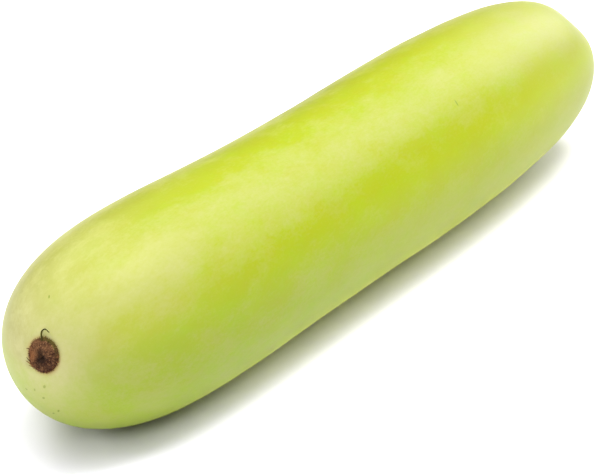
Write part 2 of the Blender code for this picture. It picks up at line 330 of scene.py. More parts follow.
@dataclass(frozen=True)
class GourdForm:
    """The gourd's own shape, by the same formulas and sizes as its solids."""

    length: float = 0.415
    girth: float = 0.0824
    taper: float = 0.0293
    # The swellings' share of the radius, station and reach.
    swellings: tuple[tuple[float, float, float], ...] = ((0.0475, -0.772, 0.321), (0.0409, 0.334, 0.325))
    blossom_bluntness: float = 7.0
    blossom_rounding: float = 2.2
    stem_bluntness: float = 5.89
    stem_rounding: float = 2.57
    side_bow: float = 0.0049
    s_bend: float = -0.0027
    shoulder_depth: float = 0.0042
    shoulder_at: float = 0.946
    shoulder_reach: float = 0.0755
    shoulder_angle: float = math.radians(123)
    shoulder_spread: float = math.radians(27)
    spot_depth: float = 0.0016
    middle: tuple[float, float] = (-0.00677, 0.00036)
    scar_aside: float = -0.0055
    scar_up: float = 0.0074

    def trunk_radius(self, station: np.ndarray) -> np.ndarray:
        """Half the girth, with a swelling near each end as a bell curve and a slight taper."""
        swell = sum(height * bell(station - at, reach) for height, at, reach in self.swellings)
        return self.girth / 2 * (1 + swell - self.taper * station)

    def dome(self, station: np.ndarray) -> np.ndarray:
        """Share of the trunk's radius left as an end rounds off: (1 - |s|^bluntness)^(1 / rounding).

        Args:
            station: From -1 at the blossom end to 1 at the stem end.

        Returns:
            Shares from 0 to 1.
        """
        bluntness = np.where(station < 0, self.blossom_bluntness, self.stem_bluntness)
        rounding = np.where(station < 0, self.blossom_rounding, self.stem_rounding)
        return np.clip(1 - np.abs(station) ** bluntness, 0, 1) ** (1 / rounding)

    def shoulder_flat(self, station: np.ndarray, angle: np.ndarray) -> np.ndarray:
        """How far the upper near shoulder of the stem end is pressed in: a bell along and round.

        Args:
            station: From -1 at the blossom end to 1 at the stem end.
            angle: Round from +Y over the top.

        Returns:
            Depths in metres.
        """
        turn = np.angle(np.exp(1j * (angle - self.shoulder_angle)))
        along = bell(station - self.shoulder_at, self.shoulder_reach)
        return self.shoulder_depth * along * bell(turn, self.shoulder_spread)

    @cached_property
    def axis_height(self) -> float:
        """Height of the centre line: the widest round's radius less the flat spot's depth."""
        stations = np.linspace(-1, 1, 2001)
        return float((self.trunk_radius(stations) * self.dome(stations)).max()) - self.spot_depth

    @cached_property
    def blossom_end_radius(self) -> float:
        """Radius that the trunk would have at the blossom end, were it not rounded off."""
        return float(self.trunk_radius(np.array(-1.0)))

    @cached_property
    def scar_middle(self) -> np.ndarray:
        """The point of the skin in the middle of the blossom scar."""
        return self.blossom_skin(np.array(0.0), np.array(0.0))

    @cached_property
    def stem_end(self) -> np.ndarray:
        """The last point of the skin, under the stem."""
        return self.skin(np.array(1.0), np.array(0.0))

    def lean(self, station: np.ndarray) -> np.ndarray:
        """Sideways slope of the bowed centre line, as an angle."""
        rise = 2 * self.side_bow * station + self.s_bend * (3 * station**2 - 0.6)
        return np.arctan(rise / (self.length / 2))

    def skin(self, station: np.ndarray, angle: np.ndarray) -> np.ndarray:
        """Points of the skin: rounds square to the centre line, which sways by a parabola and a cubic.

        Args:
            station: From -1 at the blossom end to 1 at the stem end.
            angle: Round from +Y over the top.

        Returns:
            Points, three numbers each.
        """
        radius = (self.trunk_radius(station) - self.shoulder_flat(station, angle)) * self.dome(station)
        sway = self.side_bow * (station**2 - 1 / 3) + self.s_bend * (station**3 - 0.6 * station)
        across = radius * np.cos(angle)
        x = self.middle[0] + station * self.length / 2 - np.sin(self.lean(station)) * across
        y = self.middle[1] + sway + np.cos(self.lean(station)) * across
        z = self.axis_height + radius * np.sin(angle)
        return np.stack(np.broadcast_arrays(x, y, z), axis=-1)

    def blossom_skin(self, right: np.ndarray, up: np.ndarray) -> np.ndarray:
        """Points of the skin near the scar's middle.

        Args:
            right: Places to the right of the scar's middle, as seen facing it.
            up: Places above it.

        Returns:
            Points, three numbers each.
        """
        aside, above = self.scar_aside - right, self.scar_up + up
        share = np.hypot(aside, above) / self.blossom_end_radius
        station = -((1 - share**self.blossom_rounding) ** (1 / self.blossom_bluntness))
        return self.skin(station, np.arctan2(above, aside))

    def over_blossom_end(self, right: np.ndarray, up: np.ndarray, height: np.ndarray) -> np.ndarray:
        """Points a height above the skin there, along its outward normal.

        Args:
            right: Places to the right of the scar's middle.
            up: Places above it.
            height: Heights over the skin.

        Returns:
            Points, three numbers each.
        """
        right, up, height = np.broadcast_arrays(np.asarray(right, float), up, height)
        along_right = self.blossom_skin(right + NUDGE, up) - self.blossom_skin(right - NUDGE, up)
        along_up = self.blossom_skin(right, up + NUDGE) - self.blossom_skin(right, up - NUDGE)
        return self.blossom_skin(right, up) + height[..., None] * unit(np.cross(along_right, along_up))

    def stem_place(self) -> Matrix:
        """Turns a shape built up +Z from its foot so that it stands on the stem end."""
        bow = Matrix.Rotation(float(self.lean(np.array(1.0))), 4, "Z")
        return Matrix.Translation(self.stem_end) @ bow @ Matrix.Rotation(math.pi / 2, 4, "Y")

    def report_fit(self) -> None:
        """Logs how far this form's width and height are from the rind's solid, to show that they agree."""
        _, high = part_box("gourd_body")
        stations, angles = np.meshgrid(np.linspace(-1, 1, 801), np.linspace(0, 2 * math.pi, 361))
        points = self.skin(stations, angles).reshape(-1, 3)
        off = np.abs((points.max(axis=0) - np.array(high))[1:]).max()
        log.info("the form's width and height are within %.2f mm of the rind's solid", off / MM)


@dataclass(frozen=True)
class Mark:
    """A small blemish on the rind: an ellipsoid in which the skin is darker.

    Attributes:
        station: Its place along the gourd.
        degrees: Its place round the gourd.
        long: Its length in metres.
        wide: Its width in metres.
        turn: Degrees that its length turns from the way along the gourd.
        depth: How dark it is, from 0 to 1.
    """

    station: float
    degrees: float
    long: float
    wide: float
    turn: float
    depth: float


# Small greenish dots under the blossom end, and the short scratches on the upper flank.
MARKS = (
    Mark(-0.9965, 222, 2.3 * MM, 1.4 * MM, 80, 0.55),
    Mark(-0.9960, 266, 1.7 * MM, 1.2 * MM, 20, 0.50),
    Mark(-0.9927, 293.5, 1.9 * MM, 1.1 * MM, 60, 0.60),
    Mark(-0.9914, 249.5, 2.1 * MM, 1.3 * MM, 70, 0.60),
    Mark(-0.9758, 243, 2.4 * MM, 1.0 * MM, 60, 0.90),
    Mark(-0.9723, 255, 2.4 * MM, 1.0 * MM, 60, 0.80),
    Mark(-0.9442, 90, 1.9 * MM, 0.7 * MM, -30, 0.95),
    Mark(0.2313, 134, 4.2 * MM, 1.0 * MM, 100, 0.95),
    Mark(0.1541, 108.5, 1.8 * MM, 0.6 * MM, 20, 0.35),
)


@dataclass(frozen=True)
class WaxyRind:
    """Bottle gourd rind, grown smooth under a thin coat of wax.

    Satin skin over pale flesh: broad soft highlights, cloudy yellow-green colour and edges that glow a
    little. Its clouds and dapple are as wide as in the photograph. Its finest specks are taken to
    be a few tenths of a millimetre wide, under a pixel, so the grain is drawn at 1.1 mm to show.
    """

    yellow_green: str = "8A9200"
    sun_green: str = "6F7100"
    leaf_green: str = "829A00"
    light_green: str = "ACB600"
    bloom: str = "949750"
    cream: str = "B3AF7C"
    straw: str = "88845E"
    ground_pale: str = "DEE678"
    stain: str = "A57C3E"
    bruise: str = "66781A"
    roughness: float = 0.46
    gloss_swing: float = 0.04
    cloud_length: float = 22 * MM
    cloud_width: float = 12 * MM
    dapple: float = 13 * MM
    grain: float = 1.1 * MM
    dent_depth: float = 0.16 * MM
    grain_depth: float = 0.010 * MM
    scatter_depth: float = 2.5 * MM

    def material(self, form: GourdForm) -> Material:
        """Builds the material; its patterns lie in Object coordinates and in the rind's own attributes.

        Args:
            form: The gourd's form, which places the marks.

        Returns:
            The material.
        """
        material, tree, shader = new_material("waxy_gourd_rind", {
            "IOR": 1.38, "Specular IOR Level": 0.35, "Specular Tint": (1.0, 1.0, 0.5, 1.0),
            "Subsurface Weight": 0.18, "Subsurface Radius": (1.0, 0.9, 0.25),
            "Subsurface Scale": self.scatter_depth})
        place = add_node(tree, "TexCoord").outputs["Object"]
        stretch = self.cloud_width / self.cloud_length
        along = add_node(tree, "Mapping", {"Vector": place, "Scale": (stretch, 1, 1)}).outputs["Vector"]
        # Clouds of deeper green, longer than they are wide, that break up into ever finer flecks.
        clouds = add_node(tree, "TexNoise", {"Vector": along, "Scale": 1 / self.cloud_width, "Detail": 5.0,
                                             "Roughness": 0.72}).outputs["Fac"]
        # A pale dapple, as if the wax had been dabbed on, and its finest grain.
        dapple = add_node(tree, "TexNoise", {"Vector": along, "Scale": 1 / self.dapple, "Detail": 5.0,
                                             "Roughness": 0.78}).outputs["Fac"]
        grain = add_node(tree, "TexNoise", {"Vector": along, "Scale": 1 / self.grain, "Detail": 2.0,
                                            "Roughness": 0.6}).outputs["Fac"]
        sunny, flank, light, dusty, pale, dry, ground, tanned = (
            add_node(tree, "Attribute", attribute_name=name).outputs["Fac"]
            for name in ("sunny_side", "shaded_side", "light_flank", "dusty", "pale_end", "straw_end",
                         "ground_spot", "scar_stain"))
        deep = self.shifted(tree, flank, clouds, 2.0)
        # Bloom, which is also a painted highlight on the near shoulder, broken up by the dapple and grain.
        dusted = self.shifted(tree, self.shifted(tree, dusty, dapple, 2.0), grain, 0.6)
        colour = linear(self.yellow_green)
        # Deeper green low on the flanks, painted shade on the upper side, and bloom that is partly a painted
        # highlight.
        for share, tint in ((deep, self.leaf_green), (sunny, self.sun_green), (dusted, self.bloom)):
            mixed = add_node(tree, "Mix", {SHARE: share, UNDER: colour, OVER: linear(tint)},
                             data_type="RGBA")
            colour = mixed.outputs[MIXED]
        # The next tints come and go with the dapple: a paler flank that is partly painted light, cream near
        # the scar, a straw tint that is partly painted sheen, a pale ground spot that is partly painted
        # bounce light, and the stain round the scar.
        patchy = self.shifted(tree, 1.0, dapple, 1.2, clamp=False)
        for share, tint in ((light, self.light_green), (pale, self.cream), (dry, self.straw),
                            (ground, self.ground_pale), (tanned, self.stain)):
            share = add_node(tree, "Math", {0: share, 1: patchy}, operation="MULTIPLY", use_clamp=True)
            mixed = add_node(tree, "Mix", {SHARE: share.outputs[0], UNDER: colour, OVER: linear(tint)},
                             data_type="RGBA")
            colour = mixed.outputs[MIXED]
        for mark in MARKS:
            colour = self.marked(tree, form, place, colour, mark)
        tree.links.new(colour, shader.inputs["Base Color"])
        # The wax is thicker in some places, so its gloss is a little uneven.
        gloss = add_node(tree, "MapRange", {"Value": dapple, "From Min": 0.3, "From Max": 0.7,
                                            "To Min": self.roughness - self.gloss_swing,
                                            "To Max": self.roughness + self.gloss_swing})
        tree.links.new(gloss.outputs[0], shader.inputs["Roughness"])
        # Skin that is never quite flat: soft dents a finger wide, down to a fine grain.
        dents = add_node(tree, "TexNoise", {"Vector": along, "Scale": 1 / self.cloud_width, "Detail": 3.0,
                                            "Roughness": 0.5, "Distortion": 0.3}).outputs["Fac"]
        bump = add_node(tree, "Bump", {"Strength": 1.0, "Distance": self.dent_depth, "Height": dents})
        fine = add_node(tree, "Bump", {"Strength": 1.0, "Distance": self.grain_depth, "Height": grain,
                                       "Normal": bump.outputs["Normal"]})
        tree.links.new(fine.outputs["Normal"], shader.inputs["Normal"])
        return material

    def shifted(self, tree: NodeTree, share: NodeSocket | float, noise: NodeSocket, amount: float,
                clamp: bool = True) -> NodeSocket:
        """A share moved up and down by a noise about its middle: share + amount * (noise - 0.5).

        Args:
            tree: The material's node tree.
            share: The share to move, as a socket or a number.
            noise: A noise between 0 and 1.
            amount: How far it moves.
            clamp: Whether the result is kept between 0 and 1.

        Returns:
            The moved share's socket.
        """
        swing = add_node(tree, "Math", {0: noise, 1: amount, 2: -amount / 2}, operation="MULTIPLY_ADD")
        total = add_node(tree, "Math", {0: share, 1: swing.outputs[0]}, operation="ADD", use_clamp=clamp)
        return total.outputs[0]

    def marked(self, tree: NodeTree, form: GourdForm, place: NodeSocket, colour: NodeSocket,
               mark: Mark) -> NodeSocket:
        """The colour with one small mark drawn on it, soft at its edge.

        Args:
            tree: The material's node tree.
            form: The gourd's form, which places the mark.
            place: Object coordinates.
            colour: The colour so far.
            mark: The mark to draw.

        Returns:
            The new colour's socket.
        """
        station, angle = np.array(mark.station), np.array(math.radians(mark.degrees))
        centre = form.skin(station, angle)
        round_way = Vector(form.skin(station, angle + 0.01) - centre).normalized()
        along_way = Vector(form.skin(station + NUDGE, angle) - centre).normalized()
        outward = along_way.cross(round_way).normalized()
        along_way = Matrix.Rotation(math.radians(mark.turn), 3, outward) @ along_way
        axes = Matrix((along_way, outward.cross(along_way), outward)).transposed()
        size = (mark.long / 2, mark.wide / 2, mark.wide)
        local = add_node(tree, "Mapping", {"Vector": place, "Location": Vector(centre), "Scale": size,
                                           "Rotation": axes.to_euler()}, vector_type="TEXTURE")
        reach = add_node(tree, "VectorMath", {0: local.outputs["Vector"]}, operation="LENGTH")
        inside = add_node(tree, "MapRange", {"Value": reach.outputs["Value"], "From Min": 0.5,
                                             "From Max": 1.0, "To Min": mark.depth, "To Max": 0.0},
                          interpolation_type="SMOOTHSTEP")
        mixed = add_node(tree, "Mix", {SHARE: inside.outputs[0], UNDER: colour, OVER: linear(self.bruise)},
                         data_type="RGBA")
        return mixed.outputs[MIXED]


@dataclass
class Rind:
    """The gourd's whole skin, flat where it rests, dimpled round the scar and drawn in round the stem."""

    form: GourdForm
    finish: WaxyRind = field(default_factory=WaxyRind)
    rounds: int = 330
    sides: int = 280
    undulation: float = 0.07 * MM
    undulation_length: float = 34 * MM
    dimple_depth: float = 0.22 * MM
    dimple_reach: float = 7.5 * MM
    seat_depth: float = 0.85 * MM
    seat_reach: float = 5.2 * MM
    lip_height: float = 0.10 * MM
    lip_at: float = 9.1 * MM
    lip_reach: float = 1.6 * MM
    pleats: int = 10
    pleat_height: float = 0.22 * MM
    pleat_reach: float = 15 * MM
    # Where its colours lie, in degrees round, and how far down from the crown a band has little bloom
    # and straw, which keeps it deep green as a painted dark reflection.
    crown: float = 85
    ridge: float = 88
    near_shoulder: float = 121
    near_cheek: float = 147
    far_shoulder: float = 49
    far_flank: float = 34
    sunny_side: float = 50
    underside: float = 270
    band: float = 70
    pale_reach: float = 29 * MM
    stain_edge: tuple[float, float] = (8.6 * MM, 6.2 * MM)

    def build(self) -> Object:
        """Makes the rind in place of its solid.

        Returns:
            The piece.
        """
        turns = np.linspace(0, math.pi, self.rounds + 2)[1:-1]
        stations, angles = np.meshgrid(-np.cos(turns), round_angles(self.sides), indexing="ij")
        base = self.form.skin(stations, angles)
        rings = base + self.relief(base)[..., None] * self.normals(base)
        rings[..., 2] = np.maximum(rings[..., 2], 0)
        blossom_end = self.form.skin(np.array(-1.0), np.array(0.0))
        points, faces = closed_loft(rings[:, ::-1], blossom_end, self.form.stem_end)
        piece = mesh_object("gourd_rind", points, faces)
        self.paint(piece, stations[:, ::-1], angles[:, ::-1], base[:, ::-1])
        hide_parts("gourd_body")
        return finish_piece(piece, self.finish.material(self.form))

    def normals(self, grid: np.ndarray) -> np.ndarray:
        """Outward normals of a grid: the cross product of its steps round and along.

        Args:
            grid: Points of shape (rounds, sides, 3).

        Returns:
            One unit vector for each point.
        """
        along = np.gradient(grid, axis=0)
        around = np.roll(grid, -1, axis=1) - np.roll(grid, 1, axis=1)
        return unit(np.cross(around, along))

    def relief(self, points: np.ndarray) -> np.ndarray:
        """Height over the plain form: a slight waviness, the scar's dimple and lip, the stem's pleats.

        Args:
            points: Points of the plain form.

        Returns:
            One height for each point.
        """
        rng = np.random.default_rng(SEED)
        # Lowered by its own height, so that the skin stays within the solid's box.
        waves = ripples(points, self.undulation_length, rng) - 1.0
        away = np.linalg.norm(points - self.form.scar_middle, axis=-1)
        dimple = self.dimple_depth * np.exp(-((away / self.dimple_reach) ** 6))
        seat = self.seat_depth * np.exp(-((away / self.seat_reach) ** 8))
        lip = bell(away - self.lip_at, self.lip_reach)
        out = points - self.form.stem_end
        spread = np.linalg.norm(out, axis=-1)
        spokes = np.cos(self.pleats * np.arctan2(out[..., 2], out[..., 1]))
        near_stem = bell(spread, self.pleat_reach) * ease(spread, 2 * MM, 9 * MM)
        pleats = self.pleat_height * (0.5 * spokes - 0.5) * near_stem
        return self.undulation * waves - dimple - seat + self.lip_height * lip + pleats

    def paint(self, piece: Object, stations: np.ndarray, angles: np.ndarray, points: np.ndarray) -> None:
        """Stores where the rind is deeper, greener, paler and straw-coloured, as shares from 0 to 1.

        It is darker along its upper side as painted shade, greener low on its flanks, and lighter there
        towards the stem and on its near cheek, partly as painted light. Bloom lies along its shoulders and
        is also a painted highlight on the near shoulder and by the blossom end, while a band well down from
        the crown on either side is kept deep green as a painted dark reflection. It is paler by e to the
        minus distance near the scar, tanned right round the scar, straw-coloured and greyer towards the
        stem, partly as painted sheen, and pale where it lay on the ground, partly as painted bounce light.

        Args:
            piece: The rind.
            stations: The grid's stations.
            angles: The grid's angles.
            points: The grid's points before their relief.
        """
        away = np.linalg.norm(points - self.form.scar_middle, axis=-1)
        down = apart(angles, self.crown)
        # A band kept deep green, with little bloom and straw: a painted dark reflection.
        band = down - self.band
        # How low on the flanks, in two steps, and the near cheek of the blossom end.
        low = 0.6 * ease(down, 62, 84) + 0.4 * ease(down, 84, 125)
        cheek = bell(apart(angles, self.near_cheek), 22) * bell(stations + 0.9, 0.06)
        shaded = 0.25 - 0.15 * ease(stations, 0, 0.6) + (0.75 - 0.35 * ease(stations, -0.6, 0.1)) * low
        # A paler flank towards the stem and on the near cheek: partly its own tint, partly painted light.
        light = (0.18 * ease(stations, -0.65, 0.1) + 0.10 * bell(stations - 0.6, 0.18)) * ease(down, 52, 76)
        pale = np.exp(-away / self.pale_reach) * (1 - 0.6 * low * ease(away, 8 * MM, 32 * MM))
        # Greyer and paler towards the stem: a straw tint that is partly painted sheen.
        straw = 0.34 * ease(stations, 0.3, 0.9) * (1 - 0.7 * low) * (1 - 0.5 * bell(band, 16))
        # Bloom lies on both shoulders, more on the near one, and most by the blossom end; on the near
        # shoulder and by the blossom end it is also a painted highlight.
        shoulder = bell(apart(angles, self.near_shoulder + 6 * bell(stations + 0.8, 0.1)), 20)
        shoulder += 0.4 * bell(apart(angles, self.far_shoulder), 20)
        dusty = 0.25 + shoulder * (0.27 + 0.4 * bell(stations + 0.79, 0.10)) - 0.3 * bell(band, 19)
        dusty -= 0.27 * bell(apart(angles, self.ridge), 17) + 0.24 * bell(apart(angles, self.far_flank), 24)
        # The pale ground spot underneath, partly painted bounce light from the floor, fades towards both
        # ends.
        middle = ease(stations, -0.9, -0.35) * (1 - 0.6 * ease(stations, 0.5, 0.85))
        ground = 0.9 * ease(apart(angles, self.underside), 66, 24) * middle
        # Painted shade: the upper side darker and a deeper green.
        sunny = bell(apart(angles, self.sunny_side), 32 + 10 * ease(stations, -0.45, -0.85))
        store(piece, sunny_side=with_poles(sunny), shaded_side=with_poles(shaded),
              light_flank=with_poles(light + 0.12 * cheek), dusty=with_poles(dusty),
              pale_end=with_poles(pale * (1 - 0.3 * cheek)), straw_end=with_poles(straw),
              ground_spot=with_poles(ground), scar_stain=with_poles(0.6 * ease(away, *self.stain_edge)))


@dataclass(frozen=True)
class ScarCork:
    """Dried corky tissue where the flower fell off.

    Matt brown fibres, rust-coloured where they are fresh, olive at the rim and nearly black in the middle,
    with painted light and shade: lighter where they stand high and towards one side.
    Its fibres are taken to be about 0.2 mm wide, under a pixel, so they are drawn at 0.5 mm to show.
    """

    cork: str = "6E4C30"
    dark_cork: str = "341E11"
    pale_fibre: str = "A67C55"
    rust: str = "945E36"
    olive: str = "5E5A24"
    char: str = "1A120C"
    roughness: float = 0.85
    fibre: float = 0.5 * MM
    fibre_depth: float = 0.12 * MM
    fleck: float = 1.0 * MM

    def material(self) -> Material:
        """Builds the material from the plate's own attributes and a fine noise.

        Returns:
            The material.
        """
        material, tree, shader = new_material("scar_cork", {
            "Roughness": self.roughness, "Specular IOR Level": 0.12})
        place = add_node(tree, "TexCoord").outputs["Object"]
        share = {name: add_node(tree, "Attribute", attribute_name=name).outputs["Fac"]
                 for name in ("high", "rusty", "olive_rim", "dark_core")}
        grain = add_node(tree, "TexNoise", {"Vector": place, "Scale": 1 / self.fibre, "Detail": 3.0,
                                            "Roughness": 0.65}).outputs["Fac"]
        # The plate's painted light and shade, with the grain, lifts dark cork to cork.
        lit = add_node(tree, "Math", {0: grain, 1: 1.1, 2: share["high"]}, operation="MULTIPLY_ADD")
        lit = add_node(tree, "MapRange", {"Value": lit.outputs[0], "From Min": 0.65,
                                          "From Max": 1.45}).outputs[0]
        # Torn fibre ends that catch the light, here and there.
        flecks = add_node(tree, "TexNoise", {"Vector": place, "Scale": 1 / self.fleck, "Detail": 1.0})
        torn = add_node(tree, "MapRange", {"Value": flecks.outputs["Fac"], "From Min": 0.58,
                                           "From Max": 0.74, "To Max": 0.55})
        torn = add_node(tree, "Math", {0: torn.outputs[0], 1: lit}, operation="MULTIPLY").outputs[0]
        colour = linear(self.dark_cork)
        for part, tint in ((lit, self.cork), (torn, self.pale_fibre), (share["rusty"], self.rust),
                           (share["olive_rim"], self.olive), (share["dark_core"], self.char)):
            mixed = add_node(tree, "Mix", {SHARE: part, UNDER: colour, OVER: linear(tint)},
                             data_type="RGBA")
            colour = mixed.outputs[MIXED]
        tree.links.new(colour, shader.inputs["Base Color"])
        bump = add_node(tree, "Bump", {"Strength": 0.7, "Distance": self.fibre_depth, "Height": grain})
        tree.links.new(bump.outputs["Normal"], shader.inputs["Normal"])
        return material


@dataclass(frozen=True)
class WitheredThread:
    """The dried style and petal threads: wiry, olive where still green and almost black at the tips.

    Its patches are two or three times as long as it is thick, which is a guess.
    """

    olive: str = "44420F"
    tip: str = "241E0A"
    roughness: float = 0.8
    patch: float = 1.6 * MM

    def material(self) -> Material:
        """Builds the material, patchy along the thread.

        Returns:
            The material.
        """
        material, tree, shader = new_material("withered_thread", {
            "Roughness": self.roughness, "Specular IOR Level": 0.12})
        place = add_node(tree, "TexCoord").outputs["Object"]
        patches = add_node(tree, "TexNoise", {"Vector": place, "Scale": 1 / self.patch, "Detail": 2.0})
        share = add_node(tree, "MapRange", {"Value": patches.outputs["Fac"], "From Min": 0.35,
                                            "From Max": 0.65})
        colour = add_node(tree, "Mix", {SHARE: share.outputs[0], UNDER: linear(self.tip),
                                        OVER: linear(self.olive)}, data_type="RGBA")
        tree.links.new(colour.outputs[MIXED], shader.inputs["Base Color"])
        return material


@dataclass
class BlossomScar:
    """The corky scar with its sunken core, its fringe of fibres and the last thread of the flower.

    Places are given right and up of the scar's middle, as seen facing it.
    """

    form: GourdForm
    cork: ScarCork = field(default_factory=ScarCork)
    thread: WitheredThread = field(default_factory=WitheredThread)
    radius: float = 6.6 * MM
    face_height: float = 0.30 * MM
    edge_height: float = 0.20 * MM
    # Raised rings: height, share of the radius where they stand, and reach.
    rim: tuple[float, float, float] = (0.34 * MM, 0.84, 0.14)
    collar: tuple[float, float, float] = (0.20 * MM, 0.46, 0.13)
    core_radius: float = 2.0 * MM
    core_depth: float = 0.5 * MM
    nub_height: float = 0.35 * MM
    nub_radius: float = 0.55 * MM
    core: tuple[float, float] = (-0.6 * MM, -0.7 * MM)
    seat_depth: float = 1.0 * MM
    plate_rings: int = 150
    plate_sides: int = 300
    fringe_count: int = 190
    # Share of the outline's radius where a fibre leaves the rim.
    fringe_root: tuple[float, float] = (0.84, 0.95)
    fringe_length: tuple[float, float] = (0.15 * MM, 0.75 * MM)
    fringe_thickness: tuple[float, float] = (0.12 * MM, 0.26 * MM)
    fringe_steps: int = 7
    fringe_sides: int = 5
    # Longer fibres, in millimetres: right and up of the root, right and up of the tip, and thickness.
    strays: tuple[tuple[float, float, float, float, float], ...] = (
        (-6.0, 1.0, -8.0, 0.8, 0.48),
        (-4.8, -4.2, -7.4, -2.4, 0.52),
        (-4.2, -5.0, -7.8, -4.0, 0.56),
        (-3.6, -5.4, -6.2, -5.4, 0.44),
        (-0.1, 6.0, 0.2, 7.6, 0.90),
        (1.2, 6.0, 1.9, 7.1, 0.60),
        (5.8, 0.9, 7.2, 1.1, 0.45),
        (6.0, -0.8, 7.4, -0.6, 0.50),
        (4.4, 4.1, 5.5, 5.0, 0.40),
    )
    hook_thickness: float = 0.66 * MM
    hook_steps: int = 60
    hook_sides: int = 12
    # The hook's knots, in millimetres: right, up and height over the skin.
    hook: tuple[tuple[float, float, float], ...] = (
        (-1.0, 5.6, 0.2),
        (-1.3, 6.8, 0.7),
        (-1.7, 8.0, 0.9),
        (-1.6, 8.9, 1.0),
        (-1.1, 9.5, 1.0),
        (-0.5, 9.7, 1.0),
        (0.2, 9.5, 0.9),
        (0.9, 9.1, 0.8),
        (1.4, 9.1, 0.7),
    )

    def build(self) -> list[Object]:
        """Makes the scar's pieces in place of its solid.

        Returns:
            The plate, the fringe and the hook.
        """
        rng = np.random.default_rng(SEED)
        cork, thread = self.cork.material(), self.thread.material()
        plate = self.build_plate(rng)
        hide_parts("blossom_scar")
        return [
            finish_piece(plate, cork),
            finish_piece(self.build_fringe(rng), cork),
            finish_piece(self.build_hook(), thread),
        ]

    def outline(self, angle: np.ndarray) -> np.ndarray:
        """Radius of the scar's uneven edge."""
        return self.radius * (1 + 0.03 * np.cos(angle - 1.0) + 0.02 * np.cos(2 * angle - 2.2))

    def spread(self, share: np.ndarray, angle: np.ndarray) -> tuple[np.ndarray, np.ndarray]:
        """Places on the scar, whose middle drifts to the dark core.

        Args:
            share: Share of the outline's radius.
            angle: Radians round.

        Returns:
            Right of the scar's middle, and above it.
        """
        radius = share * self.outline(angle)
        right = (1 - share) * self.core[0] + radius * np.cos(angle)
        up = (1 - share) * self.core[1] + radius * np.sin(angle)
        return right, up

    def core_distance(self, right: np.ndarray, up: np.ndarray, rng: np.random.Generator) -> np.ndarray:
        """Distance from the middle of the dark core, made uneven so that the core is no plain round.

        Args:
            right: Right of the scar's middle.
            up: Above the scar's middle.
            rng: The seeded source of the unevenness.

        Returns:
            Distances in metres.
        """
        place = np.stack([right, up, 0 * up], -1)
        away = np.hypot(right - self.core[0], 0.8 * (up - self.core[1]))
        return away * (1 + 0.22 * ripples(place, 2.6 * MM, rng)) + 0.12 * MM * ripples(place, 1.0 * MM, rng)

    def face_relief(self, right: np.ndarray, up: np.ndarray, share: np.ndarray, angle: np.ndarray,
                    away: np.ndarray, rng: np.random.Generator) -> tuple[np.ndarray, np.ndarray]:
        """Height of the corky face over the skin.

        It adds a rim and a collar as broken bell curves, a sunken core with a nub, radial fibres whose waves
        are finer round than along, concentric cracks that wander, and loose crumbs.

        Args:
            right: Right of the scar's middle.
            up: Above the scar's middle.
            share: Share of the outline's radius.
            angle: Radians round.
            away: Distance from the middle of the dark core.
            rng: The seeded source of the unevenness.

        Returns:
            The whole height, and the part of it that comes from fibres, cracks and crumbs.
        """
        flat = share * self.radius / MM
        place = np.stack([right, up, 0 * up], -1) / MM
        swirled = angle + 0.5 * share
        fibres = ripples(np.stack([7 * np.cos(swirled), 7 * np.sin(swirled), 0.35 * flat], -1), 1.1, rng)
        crumbs = ripples(place, 1.1, rng) + 0.6 * ripples(place, 0.5, rng)
        lumps = ripples(place, 3.2, rng)
        broken = 0.75 + 0.35 * lumps
        rings = sum(height * bell(share - at, reach) for height, at, reach in (self.rim, self.collar))
        wander = 0.9 * ripples(np.stack([5 * np.cos(angle), 5 * np.sin(angle), 0.4 * flat], -1), 4.0, rng)
        cracks = bell((flat + wander) % 1.5 - 0.75, 0.2) * ease(flat, 1.6, 3.0) * np.clip(0.6 + crumbs, 0, 1)
        hollow = self.core_depth * np.exp(-((away / self.core_radius) ** 3))
        core = hollow - self.nub_height * bell(away, self.nub_radius)
        rough = 1 - 0.4 * ease(share, 0.9, 1.0)
        uneven = (0.09 * fibres + 0.09 * crumbs + 0.07 * lumps - 0.20 * cracks) * MM * rough
        return self.face_height + rings * broken - core + uneven, uneven

    def build_plate(self, rng: np.random.Generator) -> Object:
        """The cork plate: its face, an edge that turns down into the rind, and a closed underside.

        Args:
            rng: The seeded source of its unevenness.

        Returns:
            The plate.
        """
        shares = np.linspace(1 / self.plate_rings, 1, self.plate_rings)
        share, angle = np.meshgrid(shares, round_angles(self.plate_sides), indexing="ij")
        right, up = self.spread(share, angle)
        away = self.core_distance(right, up, rng)
        height, uneven = self.face_relief(right, up, share, angle, away, rng)
        fall = ease(share, 0.94, 1.0)
        height = height * (1 - fall) + self.edge_height * fall
        face = self.form.over_blossom_end(right, up, height)
        # The edge's four rings: the share of the face's last ring that each keeps, and its height.
        edge = ((1.004, 0.0), (1.0, -0.4 * MM), (0.97, -self.seat_depth), (0.5, -self.seat_depth))
        side = [self.form.over_blossom_end(right[-1] * kept, up[-1] * kept, level) for kept, level in edge]
        rings = np.concatenate([face, np.stack(side)])
        top = self.form.over_blossom_end(*self.core, height[0].mean())
        bottom = self.form.over_blossom_end(*self.core, -self.seat_depth)
        points, faces = closed_loft(rings[:, ::-1], top, bottom)
        plate = mesh_object("scar_plate", points, faces)
        self.paint(plate, *(grid[:, ::-1] for grid in (share, angle, uneven, away, right, up)))
        return plate

    def paint(self, plate: Object, share: np.ndarray, angle: np.ndarray, uneven: np.ndarray,
              away: np.ndarray, right: np.ndarray, up: np.ndarray) -> None:
        """Stores painted light and shade by the cork's height, and where it is rusty, olive or dark at the
        core.

        Args:
            plate: The cork plate.
            share: Share of the outline's radius, over the face.
            angle: Radians round, over the face.
            uneven: Height of the fibres, cracks and crumbs, over the face.
            away: Distance from the middle of the dark core, over the face.
            right: Right of the scar's middle.
            up: Above the scar's middle.
        """
